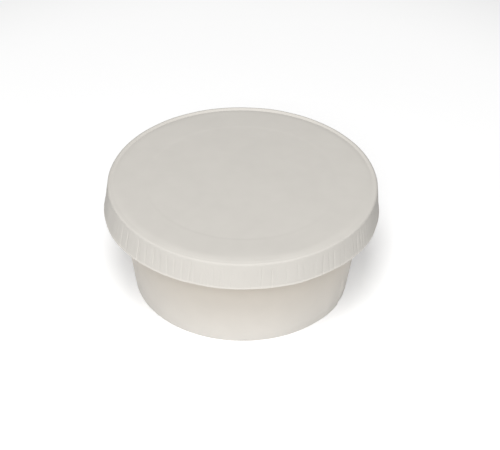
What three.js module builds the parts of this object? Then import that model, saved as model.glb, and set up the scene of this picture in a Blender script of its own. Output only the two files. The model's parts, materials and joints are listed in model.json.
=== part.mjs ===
// A squat round tub of plain white paperboard, shut by a pressed paper lid with a finely pleated skirt.
// Millimetres, +Z up. The origin is the middle of the foot, on the surface it stands on. The front is -Y.
import * as THREE from "three";

const { degToRad } = THREE.MathUtils;

// Driving dimensions of the lid
const LID_RADIUS = 50; // outside of the lid at its shoulder, above the skirt
const LID_TOP = 43.5; // top of the lid's raised rim above the surface
const LID_BOARD = 0.5; // thickness of the pressed board
const SHOULDER_ROUND = 0.9; // outer radius of the bend from the rim into the skirt
const CREASE_RADIUS = 48.25; // the pressed crease just inside the raised rim
const CREASE_DEPTH = 0.5; // how far the crease lies below the rim's top at the back
const BAND_RADIUS = 45.7; // a steeper band climbs from the crease to here
const BAND_RISE = 0.22;
const RIM_SETTLE = 0.45; // how far the rim sinks towards the front
const CREASE_FILL = 0.25; // how much higher the crease lies at the front
const DOME_RISE = 0.28; // from the band up to the pressed ring, which is level with the rim at the back
const DOME_FULLNESS = 0.62; // share of that rise which the round dome reaches half way
const RING_RADIUS = 36; // middle of the faint pressed ring
const RING_WIDTH = 1.3;
const RING_DROP = 0.06; // how far the disc inside the ring lies lower
const CENTRE_RISE = 0.35; // from the ring up to the middle of the disc
const SKIRT_DEPTH = 10.72; // from the rim's top to the skirt's cut edge
const SKIRT_FLARE = 0.95; // how far the cut edge stands out past the shoulder
const SKIRT_LEAN = 0.3; // the skirt stands out this much more at the left and less at the right
const EDGE_ROUND = 0.25; // half the thickness of the rounded cut edge
const SETTLED_SHARE = 0.3; // the rim's sinking has gone this far down the skirt
const EDGE_CURL = 0.1; // the cut edge curls out this much
const PLEATS = 112;
const PLEAT_DEPTH = 0.16;
const PLEAT_START = 1.1; // the pleats begin this far below the shoulder
const PLEAT_VARIATION = 0.3; // share of the depth that differs from pleat to pleat
const PLEAT_SHIFT = 0.25; // share of a column's width that a pleat stands out of its even place

// Driving dimensions of the tub
const FOOT_RADIUS = 40.05; // outside of the wall, carried down to the surface
const WALL_LEAN = Math.tan(degToRad(8.45)); // how far the wall leans out for each millimetre of height
const FOOT_WIDTH = 1.45; // the wall folded in round the base's turned-down edge
const FOOT_ROUND = 0.3;
const RECESS_DEPTH = 5; // the base sits this far above the surface
const ROLL_ROUND = 1.45; // outer radius of the rolled rim's section
const ROLL_START = -135; // degrees round the section, from where the roll leaves the wall
const ROLL_END = 145; // to where it meets the contents
const AIR = 0.32; // least air between the lid and the rolled rim
const SEAM_ANGLE = degToRad(63); // the wall's glued overlap ends here, right of the front
const SEAM_WIDTH = degToRad(0.24); // of the step where it ends
const OVERLAP_ANGLE = degToRad(10);
const OVERLAP_STEP = 0.35; // thickness of the layer that lies over the other
const TUB_COLUMNS = 96;

// Turns an outline of points round the upright axis. place(column, point) gives each point's angle right of
// the front, its radius and its height, so that a column can be moved round, in, out, up or down.
function turned(outline, columns, place) {
  const section = outline.map((point) => new THREE.Vector2(point.radius, point.height));
  const geometry = new THREE.LatheGeometry(section, columns);
  const position = geometry.getAttribute("position");
  for (let index = 0; index < position.count; index++) {
    const column = Math.floor(index / outline.length) % columns;
    const point = outline[index % outline.length];
    const { angle, radius, height } = place(column, point);
    position.setXYZ(index, radius * Math.sin(angle), height, radius * Math.cos(angle));
  }
  geometry.rotateX(Math.PI / 2);
  geometry.computeVertexNormals();
  return geometry;
}

// Points on an arc of the section round a centre, from one angle to another in degrees: 0 points out, 90 up.
function arc(centre, round, from, to, steps) {
  const points = [];
  for (let step = 0; step <= steps; step++) {
    const turn = degToRad(from + ((to - from) * step) / steps);
    points.push({
      radius: centre.radius + round * Math.cos(turn),
      height: centre.height + round * Math.sin(turn),
    });
  }
  return points;
}

// Lid

const shoulder = { radius: LID_RADIUS - SHOULDER_ROUND, height: LID_TOP - SHOULDER_ROUND };
const creaseHeight = LID_TOP - CREASE_DEPTH;
const edgeHeight = LID_TOP - SKIRT_DEPTH;
const edgeRadius = LID_RADIUS + SKIRT_FLARE;

// The upper face from the crease inwards: a steeper band, a gentle dome, the pressed ring and a flatter disc.
function lidFace() {
  const bandHeight = creaseHeight + BAND_RISE;
  const ringHeight = bandHeight + DOME_RISE;
  const discHeight = ringHeight - RING_DROP;
  return [
    { radius: CREASE_RADIUS, height: creaseHeight },
    { radius: BAND_RADIUS, height: bandHeight },
    { radius: (BAND_RADIUS + RING_RADIUS) / 2, height: bandHeight + DOME_RISE * DOME_FULLNESS },
    { radius: RING_RADIUS + RING_WIDTH / 2, height: ringHeight },
    { radius: RING_RADIUS - RING_WIDTH / 2, height: discHeight },
    { radius: 0, height: discHeight + CENTRE_RISE },
  ];
}

// How far down the skirt a height is: 0 at the shoulder and 1 at the cut edge.
function skirtShare(height) {
  return THREE.MathUtils.clamp((shoulder.height - height) / (shoulder.height - edgeHeight), 0, 1);
}

// The lid's closed section, from the middle of its underside out, round the cut edge and back over the top.
function lidOutline() {
  const pleatHeight = shoulder.height - PLEAT_START;
  const pleatRadius = LID_RADIUS + SKIRT_FLARE * skirtShare(pleatHeight);
  const face = lidFace();
  const underside = face.map(({ radius, height }) => ({ radius, height: height - LID_BOARD })).reverse();
  const edgeCentre = { radius: edgeRadius - EDGE_ROUND + EDGE_CURL, height: edgeHeight + EDGE_ROUND };
  const skirt = [
    { radius: pleatRadius - LID_BOARD, height: pleatHeight },
    { radius: edgeRadius - LID_BOARD, height: edgeHeight + 3 * EDGE_ROUND },
    ...arc(edgeCentre, EDGE_ROUND, 180, 360, 2),
    { radius: edgeRadius, height: edgeHeight + 4 * EDGE_ROUND },
    { radius: pleatRadius, height: pleatHeight },
  ];
  return [
    ...underside,
    ...arc(shoulder, SHOULDER_ROUND - LID_BOARD, 90, 0, 1),
    ...skirt.map((point) => ({ ...point, pleated: true })),
    ...arc(shoulder, SHOULDER_ROUND, 0, 100, 3),
    ...face,
  ];
}

// An uneven number between -1 and 1 for each whole number, the same each time.
function uneven(number) {
  const goldenAngle = Math.PI * (3 - Math.sqrt(5));
  return Math.sin(number * goldenAngle);
}

// How much a point lies higher or lower at the front than at the back: the rim sinks, the crease rises.
function settling({ radius, height }) {
  if (radius <= CREASE_RADIUS) {
    return CREASE_FILL * THREE.MathUtils.smoothstep(radius, RING_RADIUS, CREASE_RADIUS);
  }
  return -RIM_SETTLE * (1 - THREE.MathUtils.smoothstep(skirtShare(height), 0, SETTLED_SHARE));
}

// Each pleat is a column that stands out and one that lies in, at uneven places and depths.
function lidGeometry() {
  const columns = 2 * PLEATS;
  const place = (column, point) => {
    const angle = ((column + PLEAT_SHIFT * uneven(column * 3)) * 2 * Math.PI) / columns;
    const isCrease = column % 2 === 1;
    const depth = PLEAT_DEPTH * (1 - PLEAT_VARIATION + PLEAT_VARIATION * uneven(column));
    const lean = SKIRT_LEAN * Math.sin(angle) * skirtShare(point.height);
    const radius = point.radius - lean - (isCrease && point.pleated ? depth : 0);
    const toFront = (1 + Math.cos(angle)) / 2;
    return { angle, radius, height: point.height + toFront * settling(point) };
  };
  return turned(lidOutline(), columns, place);
}

// Tub

function wallRadius(height) {
  return FOOT_RADIUS + WALL_LEAN * height;
}

// The rolled rim's section is centred under the lid's band and inside its skirt, with air between.
function rollCentre() {
  const radius = LID_RADIUS - LID_BOARD - PLEAT_DEPTH - AIR - ROLL_ROUND;
  const bandShare = (CREASE_RADIUS - radius) / (CREASE_RADIUS - BAND_RADIUS);
  const underside = creaseHeight + BAND_RISE * bandShare - LID_BOARD;
  return { radius, height: underside - AIR - ROLL_ROUND };
}

// The tub's closed section, from the middle of the base out, under the foot, up the wall, round the rolled
// rim and back over the contents.
function tubOutline() {
  const roll = rollCentre();
  const wallTop = roll.height - ROLL_ROUND / 2;
  const recessRadius = wallRadius(RECESS_DEPTH) - FOOT_WIDTH;
  const footInside = FOOT_RADIUS - FOOT_WIDTH;
  const rim = arc(roll, ROLL_ROUND, ROLL_START, ROLL_END, 8);
  return [
    { radius: 0, height: RECESS_DEPTH },
    { radius: recessRadius - FOOT_ROUND, height: RECESS_DEPTH },
    { radius: recessRadius, height: RECESS_DEPTH - FOOT_ROUND },
    { radius: footInside, height: FOOT_ROUND },
    { radius: footInside + FOOT_ROUND, height: 0 },
    { radius: FOOT_RADIUS - FOOT_ROUND, height: 0 },
    { radius: wallRadius(FOOT_ROUND), height: FOOT_ROUND, wall: true },
    { radius: wallRadius(wallTop), height: wallTop, wall: true },
    ...rim,
    { radius: 0, height: rim.at(-1).height },
  ];
}

// The outer layer climbs over the inner one in half the overlap, then ends in a crisp step at the seam.
function overlapRise(angle) {
  const along = (angle - (SEAM_ANGLE - OVERLAP_ANGLE)) / OVERLAP_ANGLE;
  return along < 0 || along > 1 ? 0 : OVERLAP_STEP * Math.min(1, 2 * along);
}

// The two columns nearest the seam stand on either side of its step.
function tubGeometry() {
  const pitch = (2 * Math.PI) / TUB_COLUMNS;
  const before = Math.floor(SEAM_ANGLE / pitch);
  const place = (column, point) => {
    let angle = column * pitch;
    if (column === before) angle = SEAM_ANGLE - SEAM_WIDTH / 2;
    if (column === before + 1) angle = SEAM_ANGLE + SEAM_WIDTH / 2;
    return { angle, radius: point.radius + (point.wall ? overlapRise(angle) : 0), height: point.height };
  };
  return turned(tubOutline(), TUB_COLUMNS, place);
}

// Materials and assembly

function paper(colour) {
  return new THREE.MeshStandardMaterial({ color: colour, roughness: 0.82, metalness: 0 });
}

function named(name, geometry, material) {
  const mesh = new THREE.Mesh(geometry, material);
  mesh.name = name;
  return mesh;
}

const shutTub = new THREE.Group();
shutTub.add(named("cup", tubGeometry(), paper(0xe2dbcf)));
shutTub.add(named("lid", lidGeometry(), paper(0xe0dcd2)));

export default shutTub;
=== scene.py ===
# A squat round tub of white paperboard, shut by a pressed paper lid, dressed over its packed model.
# Laid out as a Blender add-on and run as a script. Metres, +Z up, and the front is -Y.
import json
import math

import bmesh
import bpy
import numpy as np
from bpy.props import FloatProperty, FloatVectorProperty, IntProperty, PointerProperty
from mathutils import Matrix, Vector

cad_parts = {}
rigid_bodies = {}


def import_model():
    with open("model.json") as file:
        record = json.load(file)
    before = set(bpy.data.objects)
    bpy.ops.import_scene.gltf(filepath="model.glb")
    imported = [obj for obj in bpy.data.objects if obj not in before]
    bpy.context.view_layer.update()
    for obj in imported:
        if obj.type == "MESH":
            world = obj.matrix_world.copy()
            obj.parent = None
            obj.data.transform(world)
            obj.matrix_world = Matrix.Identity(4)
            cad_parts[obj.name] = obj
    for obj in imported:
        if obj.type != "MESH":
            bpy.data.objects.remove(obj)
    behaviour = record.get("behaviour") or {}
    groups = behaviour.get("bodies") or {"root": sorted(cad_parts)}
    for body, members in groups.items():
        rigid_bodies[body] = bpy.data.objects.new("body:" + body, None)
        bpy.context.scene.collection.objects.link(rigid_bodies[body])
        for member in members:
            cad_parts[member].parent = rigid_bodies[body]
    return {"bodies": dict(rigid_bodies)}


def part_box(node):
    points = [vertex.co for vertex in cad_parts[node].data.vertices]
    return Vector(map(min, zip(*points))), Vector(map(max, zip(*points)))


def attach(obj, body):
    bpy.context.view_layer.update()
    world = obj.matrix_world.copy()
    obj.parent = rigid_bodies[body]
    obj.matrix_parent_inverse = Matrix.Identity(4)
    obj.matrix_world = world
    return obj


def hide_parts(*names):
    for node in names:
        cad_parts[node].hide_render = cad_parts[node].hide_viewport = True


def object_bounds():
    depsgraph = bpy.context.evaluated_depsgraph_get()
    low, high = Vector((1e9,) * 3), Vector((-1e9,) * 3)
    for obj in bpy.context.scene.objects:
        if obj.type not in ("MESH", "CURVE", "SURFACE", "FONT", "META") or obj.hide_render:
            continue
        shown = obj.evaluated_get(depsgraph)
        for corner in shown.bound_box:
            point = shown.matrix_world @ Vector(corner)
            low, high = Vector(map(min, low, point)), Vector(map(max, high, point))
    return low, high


bl_info = {
    "name": "Paper Tub",
    "version": (1, 0, 0),
    "blender": (4, 5, 0),
    "location": "View3D > Sidebar > Paper Tub",
    "description": "A round paper tub with a pleated paper lid",
    "category": "Object",
}

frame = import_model()
CAD_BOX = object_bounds()
CUP_LOW, CUP_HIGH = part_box("cup")
LID_LOW, LID_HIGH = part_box("lid")
BODY = next(iter(frame["bodies"]))
MM = 0.001
BASE_COLUMNS = 360
FLOOR_COLUMNS = 96
FLOOR_RADIUS = 3.0
KNURLS = 160  # pressing marks round the inside of the foot
SHARP_CORNER = math.radians(50)  # edges that bend more than this stay sharp
EDGE_SWELL = 0.2  # a cut edge stands out in its middle by this share of the board's thickness
GROOVE_WIDTH = 0.27 * MM  # half the width of the fine groove in the lid's crease
RING_CLEAR = math.radians(-30)  # the pressed ring is clearest here, left of the front
RING_FADE = 0.7  # share of the ring's depth that is gone on the other side
SETTLED_SHARE = 0.3  # the rim's sinking and unevenness have ended this far down the skirt
FRONT_CORNER = math.radians(60)  # the skirt bulges out softly this far left and right of the front
CORNER_WIDTH = math.radians(15)
MOST_PLEATED = math.radians(312)  # the deepest pleats lie round here, left of the front
PLEATED_WIDTH = math.radians(14)
RIM_UNEVENNESS = 0.04 * MM
EDGE_UNEVENNESS = 0.07 * MM
RIM_RIPPLE = ((5, 9, 14, 23), 3)  # waves round the axis, and the seed for where they begin
SKIRT_RIPPLE = ((4, 7, 11, 17), 5)
EDGE_RIPPLE = ((6, 13, 19, 31), 8)
WALL_RIPPLE = ((2, 3, 5, 8), 21)
LIFT_REACH = 3 * MM  # the seam's lifted place reaches about this far up and down
FLAP_START = math.radians(-2.2)  # from the wall's edge, where the lifting begins
FLAP_END = math.radians(0.6)  # past the edge, where the lifting would be whole
WARP_BEGINS = (6 * MM, 16 * MM)  # heights between which the wall's unevenness grows
WARP_ENDS = (32 * MM, 38 * MM)
LAYER_LIFT_ENDS = (0.5 * MM, 7 * MM)  # the foot is raised over a second layer, and this fades between
KNURLS_BEGIN = (0.6 * MM, 1.8 * MM)
ROLL_LAYER_SHARE = 0.35  # share of the overlap that stands out on the rolled rim, the rest goes inwards
SHINE = 0.4  # specular level of the boards, 0.5 being the usual one


def length(name, description, default):
    """A size that is shown in the scene's unit of length."""
    return FloatProperty(
        name=name, description=description, default=default, precision=5, subtype="DISTANCE", unit="LENGTH"
    )


def angle(name, description, degrees):
    """An angle given in degrees."""
    return FloatProperty(name=name, description=description, default=math.radians(degrees), subtype="ANGLE")


def share(name, description, default):
    """A part of one."""
    return FloatProperty(name=name, description=description, default=default, min=0, max=1, subtype="FACTOR")


def number(name, description, default):
    """A value with no unit of Blender's own."""
    return FloatProperty(name=name, description=description, default=default)


def whole(name, description, default, least=1):
    """A whole number."""
    return IntProperty(name=name, description=description, default=default, min=least)


def colour(name, description, default):
    """A colour in linear light."""
    return FloatVectorProperty(
        name=name, description=description, default=default, size=3, min=0, max=1, subtype="COLOR"
    )


# Sizes and colours


class LidSizes(bpy.types.PropertyGroup):
    """The pressed paper lid"""

    radius: length("Radius", "Outside of the lid at its shoulder", 50 * MM)
    board: length("Board", "Thickness of the pressed board", 0.5 * MM)
    shoulder_round: length("Shoulder", "Bend from the raised rim into the skirt", 0.9 * MM)
    crease_radius: length("Crease", "Radius of the crease inside the raised rim", 48.25 * MM)
    crease_depth: length("Crease depth", "From the rim's top down to the crease at the back", 0.5 * MM)
    rim_settle: length("Rim settle", "The raised rim sinks this much towards the front", 0.45 * MM)
    crease_fill: length("Crease fill", "The crease is this much shallower towards the front", 0.25 * MM)
    crease_groove: length("Crease groove", "A fine groove in the crease at the back is this deep", 0.15 * MM)
    band_radius: length("Band", "A steeper band climbs inwards from the crease to this radius", 45.7 * MM)
    band_rise: length("Band rise", "Height that the band climbs", 0.22 * MM)
    dome_rise: length("Dome rise", "Height from the band up to the pressed ring", 0.28 * MM)
    ring_radius: length("Ring", "Middle of the faint pressed ring", 36 * MM)
    ring_width: length("Ring width", "Width of the ring's step", 1.3 * MM)
    ring_drop: length("Ring drop", "How far the disc inside the ring lies lower", 0.045 * MM)
    centre_rise: length("Centre rise", "From the ring up to the middle of the disc", 0.35 * MM)
    warp: length("Warp", "Gentle unevenness of the face", 0.05 * MM)
    skirt_flare: length("Flare", "How far the cut edge stands out past the shoulder", 0.95 * MM)
    skirt_lean: length("Lean", "The skirt stands out this much more at the left, less at the right", 0.3 * MM)
    skirt_bulge: length("Bulge", "The skirt stands out this much more at its front corners", 0.5 * MM)
    skirt_wave: length("Wave", "Slow wave of the skirt's cut edge, in and out", 0.08 * MM)
    edge_curl: length("Edge curl", "The cut edge turns out this much", 0.22 * MM)
    edge_height: length("Edge height", "The cut edge above the surface", LID_LOW.z)
    top_height: length("Top", "Middle of the disc above the surface", LID_HIGH.z)
    pleat_spacing: length("Pleat spacing", "Usual distance from crease to crease", 2.0 * MM)
    pleat_depth: length("Pleat depth", "Depth of the deepest creases", 0.2 * MM)
    pleat_step: length("Pleat step", "One side of a crease stands this much further out", 0.03 * MM)
    face_columns: whole("Face columns", "Columns of the face", 288, least=24)
    skirt_detail: whole("Skirt detail", "Columns of the skirt for each of the face", 7)
    inner_detail: whole("Inner detail", "Columns of the skirt's hidden side for each of the face", 1)


class TubSizes(bpy.types.PropertyGroup):
    """The wrapped wall and the base"""

    foot_radius: length("Foot radius", "Outside of the wall, carried down to the surface", 40.05 * MM)
    wall_lean: angle("Wall lean", "The wall leans out from upright by this angle", 8.45)
    board: length("Board", "Thickness of the tub's board", 0.4 * MM)
    wall_warp: length("Wall warp", "Gentle unevenness of the wrapped wall", 0.05 * MM)
    roll_round: length("Roll", "Outer radius of the rolled rim's section", 1.66 * MM)
    roll_radius: length("Roll reach", "Outside of the rolled rim", CUP_HIGH.x)
    roll_top: length("Roll top", "Top of the rolled rim above the surface", CUP_HIGH.z)
    seam_angle: angle("Seam", "Where the wall's outer layer ends, right of the front", 63)
    overlap_angle: angle("Overlap", "How far the wall's two layers overlap", 10)
    ramp_angle: angle("Ramp", "How far the outer layer takes to climb over the inner one", 8)
    seam_gap: length("Seam gap", "Glue line between the two layers", 0.03 * MM)
    seam_lift: length("Seam lift", "The outer layer's edge stands off this much at one place", 0.8 * MM)
    lift_height: length("Lift height", "Height of the place where the edge stands off most", 9.5 * MM)
    foot_round: length("Foot round", "Outer bend at the foot", 0.4 * MM)
    fold_height: length("Fold height", "How far the folded-in wall reaches up inside the foot", 4.3 * MM)
    knurl: length("Knurl", "Depth of the pressing marks on the fold", 0.035 * MM)
    recess_depth: length("Recess", "Height of the base above the surface", 5 * MM)
    base_round: length("Base bend", "Bend from the base into its turned-down edge", 0.9 * MM)


class PaperLook(bpy.types.PropertyGroup):
    """Colours and finish of the boards"""

    lid_colour: colour("Lid", "Face of the lid's board", (0.716, 0.688, 0.64))
    # Painted shade and bounce light: the tub's colour at the rim is darker and warmer than at the foot, for
    # the lid's shadow and warm light bounced from under it.
    tub_shaded_rim_colour: colour("Tub", "Face of the tub's board at the rim", (0.725, 0.664, 0.58))
    foot_colour: colour("Tub foot", "Face of the tub's board at the foot", (0.728, 0.70, 0.656))
    # Partly painted highlight: the cut edge is lighter than the face, partly the raw edge's own tone and
    # partly a painted highlight where the edge catches light.
    edge_colour_and_highlight: colour("Cut edge", "Raw cut edge of the boards", (0.80, 0.775, 0.71))
    lid_roughness: share("Lid roughness", "Roughness of the lid's face", 0.7)
    tub_roughness: share("Tub roughness", "Roughness of the tub's smoother face", 0.58)
    edge_roughness: share("Edge roughness", "Roughness of the raw cut edge", 0.92)
    cloudiness: share("Cloudiness", "How much the board's tone varies", 0.035)


class StageSetup(bpy.types.PropertyGroup):
    """Floor, light and camera"""

    floor_colour: colour("Floor", "Pale floor under the tub", (0.75, 0.75, 0.75))
    # Painted pool of light: the floor's colour and glow are palest round a point behind the tub and darken
    # far from it.
    painted_floor_dimming: share("Floor dimness", "How much darker the floor is far from the tub", 0.6)
    pool_back: length("Pale pool", "The floor is palest round a point this far behind the tub", 45 * MM)
    pool_inside: length("Pool inside", "The floor begins to darken this far from that point", 140 * MM)
    pool_outside: length("Pool outside", "The floor is darkest this far from that point", 370 * MM)
    floor_glow: number("Floor glow", "Light that the floor gives off itself", 0.42)
    sky_colour: colour("Surroundings", "Colour of the light from all round", (1.0, 1.0, 1.0))
    sky_strength: number("Surroundings strength", "Strength of the light from all round", 0.01)
    light_distance: length("Light distance", "From the tub to each light", 1.5)
    light_size: length("Light size", "Side of the square lights", 0.55)
    low_power: number("Low light", "Power of the lower front light, in watts", 9.1)
    low_azimuth: angle("Low azimuth", "The lower light stands this far right of the front", -5)
    low_elevation: angle("Low elevation", "Height of the lower light above the horizon", 42)
    high_power: number("High light", "Power of the upper front light, in watts", 15.2)
    high_azimuth: angle("High azimuth", "The upper light stands this far right of the front", -8)
    high_elevation: angle("High elevation", "Height of the upper light above the horizon", 68)
    camera_distance: length("Camera distance", "From the lid's rim to the camera", 0.8)
    camera_elevation: angle("Camera elevation", "Height of the camera above the horizon", 35.42)
    camera_roll: angle("Camera roll", "Turn of the camera about its line of sight", 0.81)
    camera_lens: number("Lens", "Focal length in mm on a 36 mm sensor", 155.85)
    rim_height: length("Rim height", "Height of the lid's rim, which the camera is aimed from", 43.1 * MM)
    aim_right: length("Aim right", "The line of sight passes this far right of the lid's middle", 2.93 * MM)
    aim_below: length("Aim below", "The line of sight passes this far below the lid's middle", 15.88 * MM)


# Shapes shared by the pieces


def soft_step(low, high, value):
    """0 below low and 1 above high, with a soft rise between."""
    along = np.clip((value - low) / (high - low), 0, 1)
    return along * along * (3 - 2 * along)


def ripple(turn, waves, seed):
    """A slow unevenness round the axis, between about -1 and 1, the same each time."""
    draw = np.random.default_rng(seed)
    total = sum(np.sin(wave * turn + draw.uniform(0, 2 * math.pi)) for wave in waves)
    return total / math.sqrt(len(waves))


def arc(centre, radius, start, end, steps):
    """Points of a section's arc from one angle to another in degrees, 0 pointing out and 90 up."""
    turn = np.radians(np.linspace(start, end, steps))
    return np.stack([centre[0] + radius * np.cos(turn), centre[1] + radius * np.sin(turn)], axis=1)


def line(start, end, steps):
    """Points of a section's straight stretch, without its two ends."""
    along = np.linspace(0, 1, steps + 2)[1:-1, None]
    return np.array(start) + (np.array(end) - np.array(start)) * along


def side(path):
    """The direction square to a section's path, to the left of the way it runs."""
    run = np.gradient(path, axis=0)
    run /= np.linalg.norm(run, axis=1)[:, None]
    return np.stack([-run[:, 1], run[:, 0]], axis=1)


def around(turn, radius, height):
    """Places at an angle right of the front."""
    return np.stack(np.broadcast_arrays(radius * np.sin(turn), -radius * np.cos(turn), height), axis=-1)


def ring_faces(first, columns, after, after_columns):
    """Faces between two rings of points. One ring may have several columns for each one of the other."""
    if columns > after_columns:
        return [face[::-1] for face in ring_faces(after, after_columns, first, columns)]
    detail = after_columns // columns
    faces = []
    for column in range(columns):
        fine = [after + (column * detail + step) % after_columns for step in range(detail + 1)]
        faces.append([first + column, first + (column + 1) % columns, *reversed(fine)])
    return faces


def piece_from(name, points, faces, edge_faces, materials):
    """A closed mesh whose cut edges take the second material, with sharp corners left sharp."""
    mesh = bpy.data.meshes.new(name)
    mesh.from_pydata(points.tolist(), [], faces)
    for material in materials:
        mesh.materials.append(material)
    marks = np.zeros(len(faces), dtype=np.int32)
    marks[list(edge_faces)] = 1
    mesh.polygons.foreach_set("material_index", marks)
    shell = bmesh.new()
    shell.from_mesh(mesh)
    bmesh.ops.recalc_face_normals(shell, faces=shell.faces)
    open_edges = sum(not edge.is_manifold for edge in shell.edges)
    if open_edges:
        raise RuntimeError(f"{name} has {open_edges} open edges")
    shell.to_mesh(mesh)
    shell.free()
    mesh.shade_smooth()
    mesh.set_sharp_from_angle(angle=SHARP_CORNER)
    piece = bpy.data.objects.new(name, mesh)
    bpy.context.collection.objects.link(piece)
    return piece


def turned_sheet(name, path, board, columns, under_columns, displace, materials):
    """A sheet of board turned round the axis. path runs along its outer face from the axis to its cut edge.
    columns and under_columns give each point's number of columns on the two faces, and
    displace(turn, radius, height, row) moves the points of a ring."""
    under = (path - board * side(path))[::-1]
    under[-1, 0] = 0
    onward = (path[-1] - path[-2]) / np.linalg.norm(path[-1] - path[-2])
    edge = (path[-1] + under[0]) / 2 + onward * board * EDGE_SWELL
    section = np.concatenate([path, [edge], under])
    counts = [*columns, columns[-1], *reversed(under_columns)]
    rows = [*range(len(path)), len(path) - 1, *reversed(range(len(path)))]
    points, starts, total = [], [], 0
    for (radius, height), count, row in zip(section, counts, rows):
        count = 1 if radius < 1e-9 else count
        turn = 2 * math.pi * np.arange(count) / count
        radius, height = displace(turn, radius, height, row)
        points.append(around(turn, radius, height))
        starts.append((total, count))
        total += count
    faces, edge_faces = [], []
    for index in range(len(starts) - 1):
        (first, count), (after, after_count) = starts[index], starts[index + 1]
        if count == 1:
            made = [[first, after + (c + 1) % after_count, after + c] for c in range(after_count)]
        elif after_count == 1:
            made = [[first + c, first + (c + 1) % count, after] for c in range(count)]
        else:
            made = ring_faces(first, count, after, after_count)
        if index in (len(path) - 1, len(path)):
            edge_faces += range(len(faces), len(faces) + len(made))
        faces += made
    return piece_from(name, np.concatenate(points), faces, edge_faces, materials)


# Lid


def ring_edges(lid):
    """Radii where the pressed ring's step begins and ends."""
    return lid.ring_radius - lid.ring_width / 2, lid.ring_radius + lid.ring_width / 2


def lid_face_height(lid, radius):
    """Height of the lid's upper face from the middle to the top of the raised rim."""
    ring_inside, ring_outside = ring_edges(lid)
    crown = lid.radius - lid.shoulder_round
    out_on_disc = np.clip(radius / ring_inside, 0, 1)
    out_on_dome = np.clip((radius - ring_outside) / (lid.crease_radius - ring_outside), 0, 1)
    out_on_band = np.clip((radius - lid.band_radius) / (lid.crease_radius - lid.band_radius), 0, 1)
    height = lid.top_height - lid.centre_rise * out_on_disc**2
    height += lid.ring_drop * soft_step(ring_inside, ring_outside, radius)
    height -= lid.dome_rise * (out_on_dome + out_on_dome**2) / 2
    height -= lid.band_rise * out_on_band**2
    height += lid.crease_depth * soft_step(lid.crease_radius, crown, radius)
    return height


def softened(function, radius, width):
    """The mean of a height over a short stretch of radius, which rounds its corners."""
    return sum(function(radius + width * step) for step in np.linspace(-0.5, 0.5, 7)) / 7


def lid_path(lid):
    """The lid's outer face from its middle to the cut edge, and how far down the skirt each point is."""
    crown = lid.radius - lid.shoulder_round
    ring_inside, ring_outside = ring_edges(lid)
    stretches = [
        (0, ring_inside - 0.75 * MM, 9),
        (ring_inside - 0.15 * MM, ring_outside + 0.45 * MM, 10),
        (ring_outside + 1.75 * MM, lid.band_radius - 0.7 * MM, 7),
        (lid.band_radius - 0.3 * MM, lid.crease_radius - 0.4 * MM, 11),
        (lid.crease_radius - 0.2 * MM, crown - 0.06 * MM, 12),
    ]
    radii = np.concatenate([np.linspace(start, end, steps) for start, end, steps in stretches])
    heights = softened(lambda radius: lid_face_height(lid, radius), radii, 0.3 * MM)
    face = np.stack([radii, heights], axis=1)
    shoulder = np.array([crown, lid_face_height(lid, crown) - lid.shoulder_round])
    bend = arc(shoulder, lid.shoulder_round, 96, 0, 10)
    down = np.concatenate([np.linspace(0.04, 0.9, 12), np.linspace(0.93, 1, 5)])
    out = lid.skirt_flare * down + lid.edge_curl * soft_step(0.93, 1.01, down)
    skirt = np.stack([lid.radius + out, shoulder[1] + (lid.edge_height - shoulder[1]) * down], axis=1)
    share_down = np.concatenate([np.zeros(len(face) + len(bend)), down])
    return np.concatenate([face, bend, skirt]), share_down, len(face)


def pleat_creases(lid):
    """Where the skirt's creases lie and how each looks. Their start and end are shares of its depth."""
    draw = np.random.default_rng(11)
    count = round(2 * math.pi * lid.radius / lid.pleat_spacing)
    turns = np.cumsum(draw.uniform(0.25, 1.75, count))
    turns *= 2 * math.pi / turns[-1]
    strong = np.exp(-(((turns - MOST_PLEATED) / PLEATED_WIDTH) ** 2))
    aside = 0.7 + 0.3 * np.sin(turns) ** 2
    slanted = draw.random(count) < 0.2
    return {
        "turn": turns,
        "slant": draw.normal(0, 0.0035, count) + slanted * draw.uniform(-0.02, 0.02, count),
        "depth": lid.pleat_depth * (0.1 + 0.8 * draw.random(count) ** 1.8) * (1 + 0.8 * strong) * aside,
        "width": draw.uniform(0.2, 0.36, count) * MM,
        "start": draw.uniform(0.02, 0.16, count),
        "end": draw.uniform(0.55, 1.5, count),
        "step": lid.pleat_step * draw.uniform(-1, 1, count),
    }


def pleats(lid, creases, turn, down):
    """How far the skirt stands out or in at each angle of one ring of points."""
    places = creases["turn"] + creases["slant"] * (down - 0.5)
    begun = soft_step(0, 0.12, down - creases["start"])
    ended = soft_step(-0.15, 0.15, down - creases["end"])
    strength = begun * (1 - 0.8 * ended)
    outwards = np.zeros_like(turn)
    for place, depth, width, force in zip(places, creases["depth"], creases["width"], strength):
        apart = (turn - place + math.pi) % (2 * math.pi) - math.pi
        near = np.abs(apart) < 0.04
        outwards[near] -= depth * force * np.exp(-((apart[near] * lid.radius / width) ** 2))
    places = places % (2 * math.pi)
    order = np.argsort(places)
    places, steps = places[order], (creases["step"] * strength)[order]
    after = np.searchsorted(places, turn) % len(places)
    before = after - 1
    facet = (places[after] - places[before]) % (2 * math.pi)
    along = ((turn - places[before]) % (2 * math.pi)) / facet
    return outwards + steps[before] * (1 - along) - steps[after] * along


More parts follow.
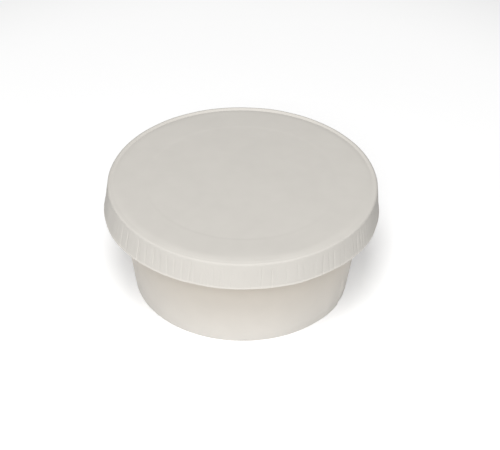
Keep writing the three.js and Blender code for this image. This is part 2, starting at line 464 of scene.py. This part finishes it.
def face_relief(lid, turn, radius):
    """How much higher the face lies at a radius: gentle swells, the groove at the back, the ring's fading."""
    x, y = radius * np.sin(turn) / MM, radius * np.cos(turn) / MM
    swell = np.sin(0.19 * x + 0.7) * np.sin(0.15 * y + 2.1) + 0.6 * np.sin(0.11 * (x - y))
    flat_from = lid.crease_radius - 0.25 * MM
    swells = lid.warp * swell * (1 - soft_step(flat_from - 4 * MM, flat_from, radius))
    in_groove = np.exp(-(((radius - lid.crease_radius) / GROOVE_WIDTH + 1) ** 2))
    to_back = (1 - np.cos(turn)) / 2
    groove = lid.crease_groove * in_groove * to_back**3
    ring_inside, ring_outside = ring_edges(lid)
    on_dome = 1 - soft_step(ring_outside, lid.band_radius - 0.7 * MM, radius)
    past_ring = soft_step(ring_inside, ring_outside, radius) * on_dome
    from_clear = (1 - np.cos(turn - RING_CLEAR)) / 2
    return swells - groove - RING_FADE * lid.ring_drop * past_ring * from_clear


def rim_relief(lid, turn, radius, down):
    """How much higher the rim and the crease lie. To the front the rim sinks and the crease fills, and the
    rim is a little uneven."""
    crown = lid.radius - lid.shoulder_round
    inside_crest = 1 - soft_step(lid.crease_radius, crown, radius)
    near_rim = 1 - soft_step(0, SETTLED_SHARE, down)
    sunk = lid.rim_settle * (1 - inside_crest) * near_rim
    filled = lid.crease_fill * soft_step(lid.ring_radius, lid.crease_radius, radius) * inside_crest
    to_front = (1 + np.cos(turn)) / 2
    on_rim = soft_step(lid.crease_radius - 1.25 * MM, lid.crease_radius + 0.75 * MM, radius) * near_rim
    return (filled - sunk) * to_front + RIM_UNEVENNESS * ripple(turn, *RIM_RIPPLE) * on_rim


def skirt_relief(lid, creases, turn, down):
    """How far the skirt stands out: pleats, a slow wave, the lean to the left and the soft front corners."""
    wave = lid.skirt_wave * ripple(turn, *SKIRT_RIPPLE)
    lean = lid.skirt_lean * np.sin(turn)
    from_front = np.abs((turn + math.pi) % (2 * math.pi) - math.pi)
    bulge = lid.skirt_bulge * np.exp(-(((from_front - FRONT_CORNER) / CORNER_WIDTH) ** 2))
    return pleats(lid, creases, turn, down) + (wave - lean + bulge) * down


def make_lid(lid, materials):
    """The lid as one sheet of pressed board."""
    path, share_down, face_rows = lid_path(lid)
    creases = pleat_creases(lid)

    def columns(detail):
        return [lid.face_columns * (1 if row < face_rows else detail) for row in range(len(path))]

    def displace(turn, radius, height, row):
        down = share_down[row]
        height = height + face_relief(lid, turn, radius) + rim_relief(lid, turn, radius, down)
        if down > 0:
            radius = radius + skirt_relief(lid, creases, turn, down)
            height = height + EDGE_UNEVENNESS * ripple(turn, *EDGE_RIPPLE) * soft_step(0.5, 1, down)
        return radius, height

    outer, inner = columns(lid.skirt_detail), columns(lid.inner_detail)
    return turned_sheet("tub_lid", path, lid.board, outer, inner, displace, materials)


# Tub


def wall_radius(tub, height):
    """Outside of the wall at a height."""
    return tub.foot_radius + math.tan(tub.wall_lean) * height


def wall_path(tub):
    """The middle of the wall's board from the free end of the rolled rim, over the roll, down the wall, round
    the foot and up inside it, and the rows where the wall's straight stretch and the fold begin."""
    half = tub.board / 2
    roll = (tub.roll_radius - tub.roll_round, tub.roll_top - tub.roll_round)
    lean = math.degrees(tub.wall_lean)
    curl = arc(roll, tub.roll_round - half, -150, 180 - lean, 23)
    bend = tub.foot_round - half
    foot_out = (wall_radius(tub, tub.foot_round) - half - bend, tub.foot_round)
    foot_in = (foot_out[0] - 2 * tub.board - 2 * tub.seam_gap + 2 * bend, tub.foot_round)
    outer_bend = arc(foot_out, bend, 0, -90, 5)
    inner_bend = arc(foot_in, bend, -90, -180, 5)
    fold_foot = inner_bend[-1]
    fold_top = (fold_foot[0] + math.tan(tub.wall_lean) * (tub.fold_height - fold_foot[1]), tub.fold_height)
    wall = line(curl[-1], outer_bend[0], 13)
    fold = line(fold_foot, fold_top, 5)
    path = np.concatenate([curl, wall, outer_bend, inner_bend, fold, [fold_top]])
    wall_start = len(curl)
    fold_start = len(curl) + len(wall) + len(outer_bend) + len(inner_bend)
    return path, wall_start, fold_start


def make_wall(tub, materials):
    """One sheet wrapped round, its ends overlapped and glued, its top rolled out and its foot folded in."""
    path, wall_start, fold_start = wall_path(tub)
    rows = len(path)
    outward = side(path) * -1
    outward *= np.sign(outward[wall_start + 2, 0])
    start = tub.seam_angle - tub.overlap_angle
    end = tub.seam_angle + 2 * math.pi
    near_end = end - np.radians(np.linspace(1.8, 0, 9))
    turn = np.concatenate([np.linspace(start, end - math.radians(2), 730), near_end])
    climb = soft_step(start + 2 * math.pi - tub.ramp_angle, start + 2 * math.pi, turn)
    covered = 1 - soft_step(tub.seam_angle, tub.seam_angle + tub.ramp_angle, turn)
    layer = tub.board + tub.seam_gap
    lift = layer * np.maximum(climb, covered)
    on_flap = soft_step(end + FLAP_START, end + FLAP_END, turn)
    points = []
    for face in (0.5, -0.5):
        for row, (radius, height) in enumerate(path):
            outer_share = ROLL_LAYER_SHARE + (1 - ROLL_LAYER_SHARE) * soft_step(0, 3, row - wall_start)
            off = tub.board * face + layer * (outer_share * climb - (1 - outer_share) * covered)
            if wall_start <= row < fold_start:
                from_lift = (height - tub.lift_height) / LIFT_REACH
                off = off + tub.seam_lift * on_flap * math.exp(-(from_lift**2))
                warp = ripple(turn, *WALL_RIPPLE) * soft_step(*WARP_BEGINS, height)
                off = off + tub.wall_warp * warp * (1 - soft_step(*WARP_ENDS, height)) * (1 - climb)
            if row >= fold_start:
                off = off + tub.knurl * np.sin(turn * KNURLS) * soft_step(*KNURLS_BEGIN, height)
            raised = height + lift * (1 - soft_step(*LAYER_LIFT_ENDS, height))
            points.append(around(turn, radius + outward[row, 0] * off, raised + outward[row, 1] * off))
    columns = len(turn)
    back = rows * columns

    def at(row, column):
        return row * columns + column

    faces = []
    for row in range(rows - 1):
        for column in range(columns - 1):
            here, right = at(row, column), at(row, column + 1)
            faces.append([here, right, right + columns, here + columns])
            faces.append([here + back + columns, right + back + columns, right + back, here + back])
    edge_start = len(faces)
    for row in (0, rows - 1):
        for column in range(columns - 1):
            here = at(row, column)
            faces.append([here, here + 1, here + 1 + back, here + back])
    for column in (0, columns - 1):
        for row in range(rows - 1):
            here = at(row, column)
            faces.append([here, here + columns, here + columns + back, here + back])
    edge_faces = range(edge_start, len(faces))
    return piece_from("tub_wall", np.concatenate(points), faces, edge_faces, materials)


def make_base(tub, materials):
    """A disc whose edge is turned down and held between the wall and its fold."""
    top = tub.recess_depth + tub.board
    outside = wall_radius(tub, top) - tub.board - tub.seam_gap
    bend_centre = (outside - tub.base_round, top - tub.base_round)
    radii = np.concatenate([[0, 3 * MM], np.linspace(8 * MM, bend_centre[0] - 1.5 * MM, 8)])
    disc = np.stack([radii, np.full(len(radii), top)], axis=1)
    bend = arc(bend_centre, tub.base_round, 90, -math.degrees(tub.wall_lean), 9)
    foot = 2 * tub.board + 4 * tub.seam_gap
    edge = (bend[-1, 0] - math.tan(tub.wall_lean) * (bend[-1, 1] - foot), foot)
    path = np.concatenate([disc, bend, line(bend[-1], edge, 4), [edge]])

    def displace(turn, radius, height, row):
        x, y = radius * np.sin(turn), radius * np.cos(turn)
        swell = np.sin(0.10 * x / MM + 0.4) * np.sin(0.12 * y / MM + 1.3)
        return radius, height + 0.1 * MM * swell * (1 - soft_step(24 * MM, 36 * MM, radius))

    columns = [BASE_COLUMNS] * len(path)
    return turned_sheet("tub_base", path, tub.board, columns, columns, displace, materials)


# Finishes


def paper(name, rim_colour, foot_colour, roughness, cloudiness, fibre_depth):
    """White board: soft clouds of tone, fine fibres raised on its face and a patchy sheen. Its colour goes
    from foot_colour at the surface to the rim's colour well below the rim. On the tub this is painted
    shade: darker and warmer towards the lid, for the lid's shadow and warm light bounced from under it."""
    material = bpy.data.materials.new(name)
    material.use_nodes = True
    nodes, links = material.node_tree.nodes, material.node_tree.links
    shader = nodes["Principled BSDF"]
    place = nodes.new("ShaderNodeTexCoord")

    def noise(scale_per_mm, detail, distortion=0.0):
        made = nodes.new("ShaderNodeTexNoise")
        made.inputs["Scale"].default_value = scale_per_mm / MM
        made.inputs["Detail"].default_value = detail
        made.inputs["Distortion"].default_value = distortion
        links.new(place.outputs["Object"], made.inputs["Vector"])
        return made

    def blend(low, high, factor):
        made = nodes.new("ShaderNodeMix")
        made.data_type = "RGBA"
        made.inputs["A"].default_value = (*low, 1)
        made.inputs["B"].default_value = (*high, 1)
        links.new(factor, made.inputs["Factor"])
        return made

    parts = nodes.new("ShaderNodeSeparateXYZ")
    links.new(place.outputs["Object"], parts.inputs["Vector"])
    # Painted shade: the tub's colour turns darker and warmer with height up to here, for the lid's shadow and
    # warm bounce light.
    climb = nodes.new("ShaderNodeMapRange")
    climb.inputs["From Max"].default_value = 0.7 * CUP_HIGH.z
    links.new(parts.outputs["Z"], climb.inputs["Value"])
    clouds = noise(0.14, 4)
    tone = blend([1 - cloudiness] * 3, [1 + cloudiness] * 3, clouds.outputs["Fac"])
    painted_shade_grade = blend(foot_colour, rim_colour, climb.outputs["Result"])
    clouded = nodes.new("ShaderNodeMix")
    clouded.data_type = "RGBA"
    clouded.blend_type = "MULTIPLY"
    clouded.inputs["Factor"].default_value = 1
    links.new(painted_shade_grade.outputs["Result"], clouded.inputs["A"])
    links.new(tone.outputs["Result"], clouded.inputs["B"])
    links.new(clouded.outputs["Result"], shader.inputs["Base Color"])

    sheen = nodes.new("ShaderNodeMapRange")
    sheen.inputs["To Min"].default_value = roughness - 0.06
    sheen.inputs["To Max"].default_value = roughness + 0.06
    links.new(noise(0.6, 3).outputs["Fac"], sheen.inputs["Value"])
    links.new(sheen.outputs["Result"], shader.inputs["Roughness"])
    shader.inputs["Specular IOR Level"].default_value = SHINE

    fibres = nodes.new("ShaderNodeBump")
    fibres.inputs["Strength"].default_value = 0.6
    fibres.inputs["Distance"].default_value = fibre_depth
    links.new(noise(3.2, 6, 1.6).outputs["Fac"], fibres.inputs["Height"])
    links.new(fibres.outputs["Normal"], shader.inputs["Normal"])
    return material


def finishes(look, face):
    """The materials of a piece: the board's face, then its raw cut edge, made lighter partly as a painted
    highlight.
    """
    cloudiness = look.cloudiness
    rows = {
        "lid_paper": (look.lid_colour, look.lid_colour, look.lid_roughness, cloudiness, 0.02 * MM),
        # The tub's face grades from its foot colour to a darker, warmer colour towards the lid: painted
        # shade.
        "tub_paper": (look.tub_shaded_rim_colour, look.foot_colour, look.tub_roughness, cloudiness, 0.012 * MM),
        # The cut edge's lighter colour is partly its raw tone and partly a painted highlight.
        "cut_paper_and_highlight": (look.edge_colour_and_highlight, look.edge_colour_and_highlight, look.edge_roughness, 2 * cloudiness, 0.05 * MM),
    }
    names = (f"{face}_paper", "cut_paper_and_highlight")
    return [bpy.data.materials.get(name) or paper(name, *rows[name]) for name in names]


# Stage


def make_floor(stage):
    """A pale round floor that gives off a little light and darkens far from the tub: a pool of light painted
    into its colour and glow.
    """
    mesh = bpy.data.meshes.new("floor")
    turn = 2 * math.pi * np.arange(FLOOR_COLUMNS) / FLOOR_COLUMNS
    mesh.from_pydata(around(turn, FLOOR_RADIUS, 0.0).tolist(), [], [list(range(FLOOR_COLUMNS))[::-1]])
    floor = bpy.data.objects.new("floor", mesh)
    bpy.context.collection.objects.link(floor)
    material = bpy.data.materials.new("floor")
    material.use_nodes = True
    nodes, links = material.node_tree.nodes, material.node_tree.links
    shader = nodes["Principled BSDF"]
    place = nodes.new("ShaderNodeTexCoord")
    apart = nodes.new("ShaderNodeVectorMath")
    apart.operation = "DISTANCE"
    apart.inputs[1].default_value = (0, stage.pool_back, 0)
    links.new(place.outputs["Object"], apart.inputs[0])
    # A painted pool of light: it scales both the floor's colour and its glow.
    painted_light_pool = nodes.new("ShaderNodeMapRange")
    painted_light_pool.interpolation_type = "SMOOTHSTEP"
    painted_light_pool.inputs["From Min"].default_value = stage.pool_inside
    painted_light_pool.inputs["From Max"].default_value = stage.pool_outside
    painted_light_pool.inputs["To Min"].default_value = 1
    painted_light_pool.inputs["To Max"].default_value = 1 - stage.painted_floor_dimming
    links.new(apart.outputs["Value"], painted_light_pool.inputs["Value"])
    for socket, tone in (("Base Color", stage.floor_colour), ("Emission Color", (1, 1, 1))):
        scaled = nodes.new("ShaderNodeVectorMath")
        scaled.operation = "SCALE"
        scaled.inputs[0].default_value = tone
        links.new(painted_light_pool.outputs["Result"], scaled.inputs["Scale"])
        links.new(scaled.outputs["Vector"], shader.inputs[socket])
    shader.inputs["Roughness"].default_value = 0.9
    shader.inputs["Emission Strength"].default_value = stage.floor_glow
    mesh.materials.append(material)


def make_light(name, power, size, distance, azimuth, elevation):
    """A square soft light that faces the middle of the tub."""
    light = bpy.data.lights.new(name, "AREA")
    light.shape = "SQUARE"
    light.size = size
    light.energy = power
    holder = bpy.data.objects.new(name, light)
    bpy.context.collection.objects.link(holder)
    level = math.cos(elevation) * distance
    outwards = Vector((math.sin(azimuth) * level, -math.cos(azimuth) * level, math.sin(elevation) * distance))
    holder.location = Vector((0, 0, (CAD_BOX[0].z + CAD_BOX[1].z) / 2)) + outwards
    holder.rotation_euler = (-outwards).to_track_quat("-Z", "Y").to_euler()


def make_lights(stage):
    """Two soft lights in front and a faint even light from all round."""
    size, distance = stage.light_size, stage.light_distance
    make_light("low_light", stage.low_power, size, distance, stage.low_azimuth, stage.low_elevation)
    make_light("high_light", stage.high_power, size, distance, stage.high_azimuth, stage.high_elevation)
    world = bpy.data.worlds.new("surroundings")
    world.use_nodes = True
    background = world.node_tree.nodes["Background"]
    background.inputs["Color"].default_value = (*stage.sky_colour, 1)
    background.inputs["Strength"].default_value = stage.sky_strength
    bpy.context.scene.world = world


def make_camera(stage):
    """Stands in front of the tub and above it, and looks at a point just below the lid's middle."""
    elevation = stage.camera_elevation
    forward = Vector((0, math.cos(elevation), -math.sin(elevation)))
    right = Vector((1, 0, 0))
    up = right.cross(forward)
    rim = Vector((0, 0, stage.rim_height))
    place = rim - forward * stage.camera_distance
    aim = rim + right * stage.aim_right - up * stage.aim_below
    sight = (aim - place).normalized()
    sideways = sight.cross(up).normalized()
    upright = sideways.cross(sight)
    turned = Matrix((sideways, upright, -sight)).transposed() @ Matrix.Rotation(stage.camera_roll, 3, "Z")
    camera = bpy.data.objects.new("camera", bpy.data.cameras.new("camera"))
    camera.data.lens = stage.camera_lens
    camera.data.sensor_width = 36
    camera.data.clip_start = 0.01
    camera.data.clip_end = 20
    camera.matrix_world = Matrix.Translation(place) @ turned.to_4x4()
    bpy.context.collection.objects.link(camera)
    bpy.context.scene.camera = camera


# Operators


def dress(piece, node):
    """The piece rides on the tub's body and stands for a solid of the packed model."""
    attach(piece, BODY)
    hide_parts(node)


class PAPERTUB_OT_wall(bpy.types.Operator):
    """Wrap the wall: rolled rim, glued overlap and folded foot"""

    bl_idname = "paper_tub.wall"
    bl_label = "Wall"

    def execute(self, context):
        scene = context.scene
        dress(make_wall(scene.tub_sizes, finishes(scene.paper_look, "tub")), "cup")
        return {"FINISHED"}


class PAPERTUB_OT_base(bpy.types.Operator):
    """Set the base disc into the foot"""

    bl_idname = "paper_tub.base"
    bl_label = "Base"

    def execute(self, context):
        scene = context.scene
        dress(make_base(scene.tub_sizes, finishes(scene.paper_look, "tub")), "cup")
        return {"FINISHED"}


class PAPERTUB_OT_lid(bpy.types.Operator):
    """Press the lid: domed face, raised rim and pleated skirt"""

    bl_idname = "paper_tub.lid"
    bl_label = "Lid"

    def execute(self, context):
        scene = context.scene
        dress(make_lid(scene.lid_sizes, finishes(scene.paper_look, "lid")), "lid")
        return {"FINISHED"}


class PAPERTUB_OT_stage(bpy.types.Operator):
    """Set up the pale floor, the soft light and the camera"""

    bl_idname = "paper_tub.stage"
    bl_label = "Stage"

    def execute(self, context):
        stage = context.scene.stage_setup
        make_floor(stage)
        make_lights(stage)
        make_camera(stage)
        context.scene.view_settings.view_transform = "Standard"
        return {"FINISHED"}


class PAPERTUB_PT_panel(bpy.types.Panel):
    """Lists the pieces of the tub"""

    bl_label = "Paper Tub"
    bl_idname = "PAPERTUB_PT_panel"
    bl_space_type = "VIEW_3D"
    bl_region_type = "UI"
    bl_category = "Paper Tub"

    def draw(self, context):
        for operator in OPERATORS:
            self.layout.operator(operator.bl_idname)
        for group in GROUPS:
            box = self.layout.box()
            box.label(text=GROUPS[group].__doc__)
            settings = getattr(context.scene, group)
            for name in GROUPS[group].__annotations__:
                box.prop(settings, name)


GROUPS = {"lid_sizes": LidSizes, "tub_sizes": TubSizes, "paper_look": PaperLook, "stage_setup": StageSetup}
OPERATORS = (PAPERTUB_OT_wall, PAPERTUB_OT_base, PAPERTUB_OT_lid, PAPERTUB_OT_stage)


def register():
    for cls in (*GROUPS.values(), *OPERATORS, PAPERTUB_PT_panel):
        bpy.utils.register_class(cls)
    for name, group in GROUPS.items():
        setattr(bpy.types.Scene, name, PointerProperty(type=group))


def unregister():
    for name in GROUPS:
        delattr(bpy.types.Scene, name)
    for cls in (PAPERTUB_PT_panel, *OPERATORS, *GROUPS.values()):
        bpy.utils.unregister_class(cls)


def main():
    register()
    bpy.ops.paper_tub.stage()
    bpy.ops.paper_tub.wall()
    bpy.ops.paper_tub.base()
    bpy.ops.paper_tub.lid()


if __name__ == "__main__":
    main()
